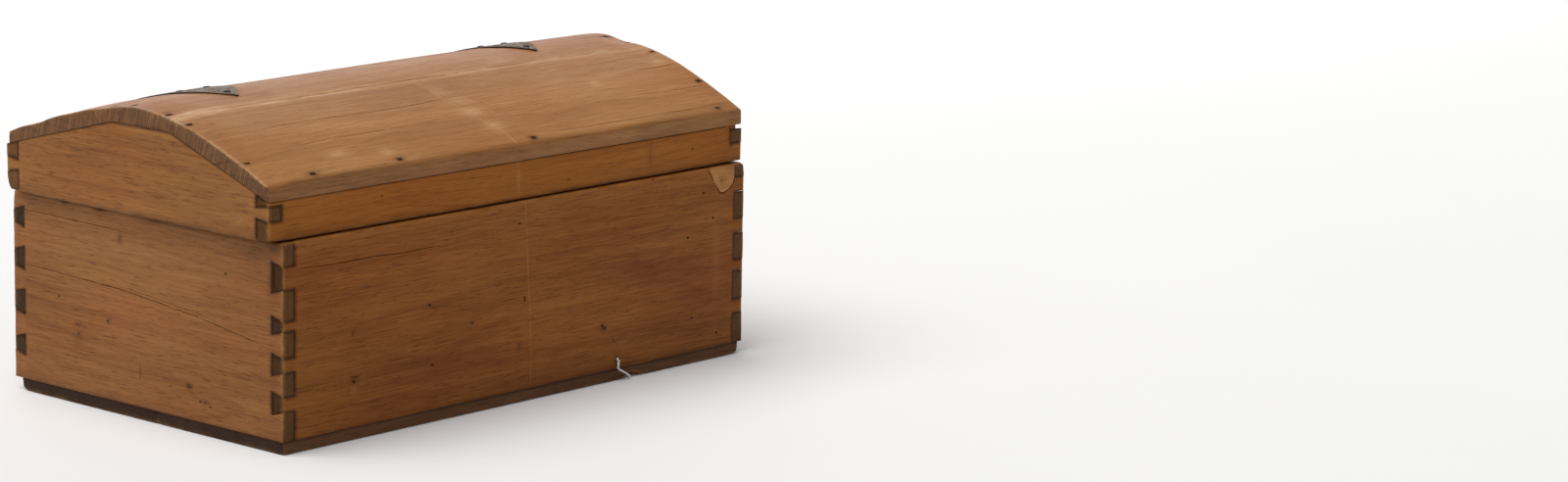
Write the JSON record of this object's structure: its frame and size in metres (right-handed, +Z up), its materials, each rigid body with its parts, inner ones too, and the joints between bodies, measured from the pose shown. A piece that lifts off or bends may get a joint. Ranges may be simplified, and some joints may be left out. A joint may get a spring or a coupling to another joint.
{
  "type": "washer toss box",
  "caption": "Dome-lidded dovetailed wooden box of a washer toss set: the lid turns back on two iron strap hinges, so that the open box holds the washers and is the target.",
  "frame": {"origin": "on the ground under the middle of the box body, in the plane of the underside of the bottom boards", "axes": "+X along the box towards its right end, +Y from the front face to the hinged back, +Z up out of the lid's crest"},
  "size_m": [0.6155, 0.3777, 0.2941],
  "materials": {
    "wall_wood": "worn satin",
    "end_wood": "worn satin",
    "bottom_wood": "worn matte",
    "patch_wood": "bare",
    "rail_wood": "worn satin",
    "gable_wood": "worn satin",
    "top_wood": "worn satin",
    "nail_iron": "rusted",
    "hinge_iron": "aged",
    "pin_steel": "worn",
    "screw_steel": "aged",
    "wire_steel": "bright"
  },
  "bodies": {
    "box": {"front_board": "wall_wood", "back_board": "wall_wood", "left_end_board": "end_wood", "right_end_board": "end_wood", "bottom_board_front": "bottom_wood", "bottom_board_back": "bottom_wood", "bottom_nails": "nail_iron", "corner_patch": "patch_wood", "corner_patch_nail": "nail_iron", "bent_wire": "wire_steel", "hinge_left_body_plate": "hinge_iron", "hinge_left_pin": "pin_steel", "hinge_right_body_plate": "hinge_iron", "hinge_right_pin": "pin_steel", "body_plate_screws": "screw_steel"},
    "lid": {"lid_front_rail": "rail_wood", "lid_back_rail": "rail_wood", "lid_left_gable": "gable_wood", "lid_right_gable": "gable_wood", "top_front_board": "top_wood", "top_crest_board": "top_wood", "top_back_board": "top_wood", "top_front_nails": "nail_iron", "top_crest_nails": "nail_iron", "top_back_nails": "nail_iron", "hinge_left_strap": "hinge_iron", "hinge_right_strap": "hinge_iron", "strap_nails": "nail_iron"}
  },
  "joints": [
    {"name": "lid_hinge", "type": "hinge", "parent": "box", "child": "lid", "pos_m": [0, 0.1862, 0.18925], "axis": [-1, 0, 0], "range_deg": [0, 180]}
  ]
}
